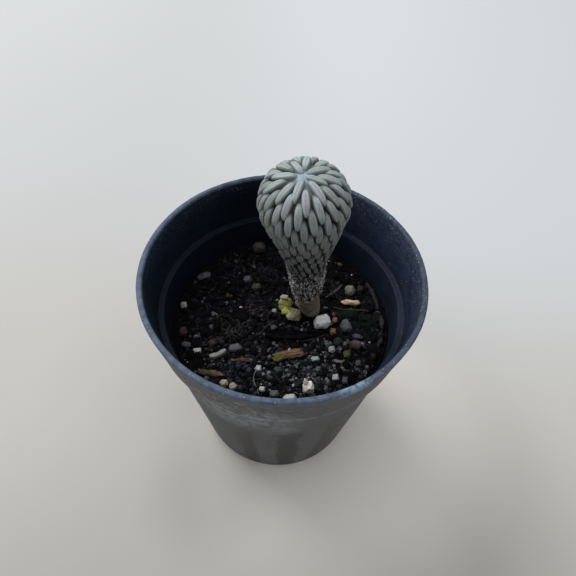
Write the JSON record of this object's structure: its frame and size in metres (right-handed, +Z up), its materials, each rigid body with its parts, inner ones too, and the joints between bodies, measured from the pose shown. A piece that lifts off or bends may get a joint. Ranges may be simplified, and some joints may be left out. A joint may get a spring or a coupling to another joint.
{
  "type": "potted hatchet cactus",
  "caption": "Small cactus with a domed head of spiralling hatchet-shaped tubercles on a narrow stem, in a round dark plastic pot of gritty potting mix.",
  "frame": {"origin": "centre of the pot's underside, on the surface it stands on", "axes": "+Z up along the pot's axis, -Y towards the picture's front, +X to its right"},
  "size_m": [0.075, 0.075, 0.1044],
  "materials": {
    "dark_bark": "rough",
    "brown_bark": "rough",
    "olive_bark": "rough",
    "red_bark": "rough",
    "orange_bark": "rough",
    "pale_stone": "matte",
    "brown_stone": "matte",
    "cactus_skin": "matte",
    "cream_stone": "matte",
    "dark_stone": "matte",
    "grey_stone": "matte",
    "green_grey_stone": "matte",
    "moss": "rough",
    "olive_stone": "matte",
    "orange_stone": "matte",
    "perlite": "matte",
    "pink_stone": "matte",
    "pot_plastic": "satin",
    "potting_mix": "rough",
    "purple_stone": "matte",
    "red_brown_stone": "matte",
    "twig": "rough"
  },
  "bodies": {
    "root": {"bark_block_right": "dark_bark", "bark_chip_front": "brown_bark", "bark_piece_left": "olive_bark", "bark_sliver_front": "red_bark", "bark_sliver_right": "orange_bark", "bark_strip_wall_back": "dark_bark", "bark_strip_wall_front": "dark_bark", "bark_strip_wall_middle": "dark_bark", "bone_pebble": "pale_stone", "brown_stone_left": "brown_stone", "cactus": "cactus_skin", "cream_crystal": "cream_stone", "cream_flake": "cream_stone", "cream_stone_far_left": "cream_stone", "cream_stone_left_a": "cream_stone", "cream_stone_left_b": "cream_stone", "dark_bark_blade": "dark_bark", "dark_bark_slab": "dark_bark", "dark_slab": "dark_stone", "green_stone_low": "dark_stone", "grey_chip_left": "grey_stone", "grey_chunk_left": "grey_stone", "grey_flake_back": "grey_stone", "grey_grain_mid": "grey_stone", "grey_grain_right": "grey_stone", "grey_green_stone": "green_grey_stone", "grey_slab": "dark_stone", "grey_stone_front": "green_grey_stone", "grey_stone_mid": "grey_stone", "grey_stone_mid_back": "grey_stone", "grey_stone_right": "grey_stone", "moss_tuft": "moss", "olive_bead": "olive_stone", "olive_stone_mid_back": "olive_stone", "orange_bark_chip": "orange_bark", "orange_stone_left": "orange_stone", "orange_stone_lower": "orange_stone", "orange_stone_upper": "orange_stone", "pale_oblong_pebble": "pale_stone", "perlite_ball": "perlite", "pink_stone_back": "pink_stone", "pot": "pot_plastic", "potting_mix": "potting_mix", "purple_flake": "purple_stone", "red_brown_stone": "red_brown_stone", "round_green_stone": "green_grey_stone", "twig": "twig", "white_chip_left": "pale_stone", "white_grain_front": "pale_stone", "white_grain_mid": "pale_stone", "white_pebble": "pale_stone", "white_stone_by_moss": "pale_stone", "white_stone_front": "pale_stone", "white_stone_right": "pale_stone"}
  },
  "joints": []
}
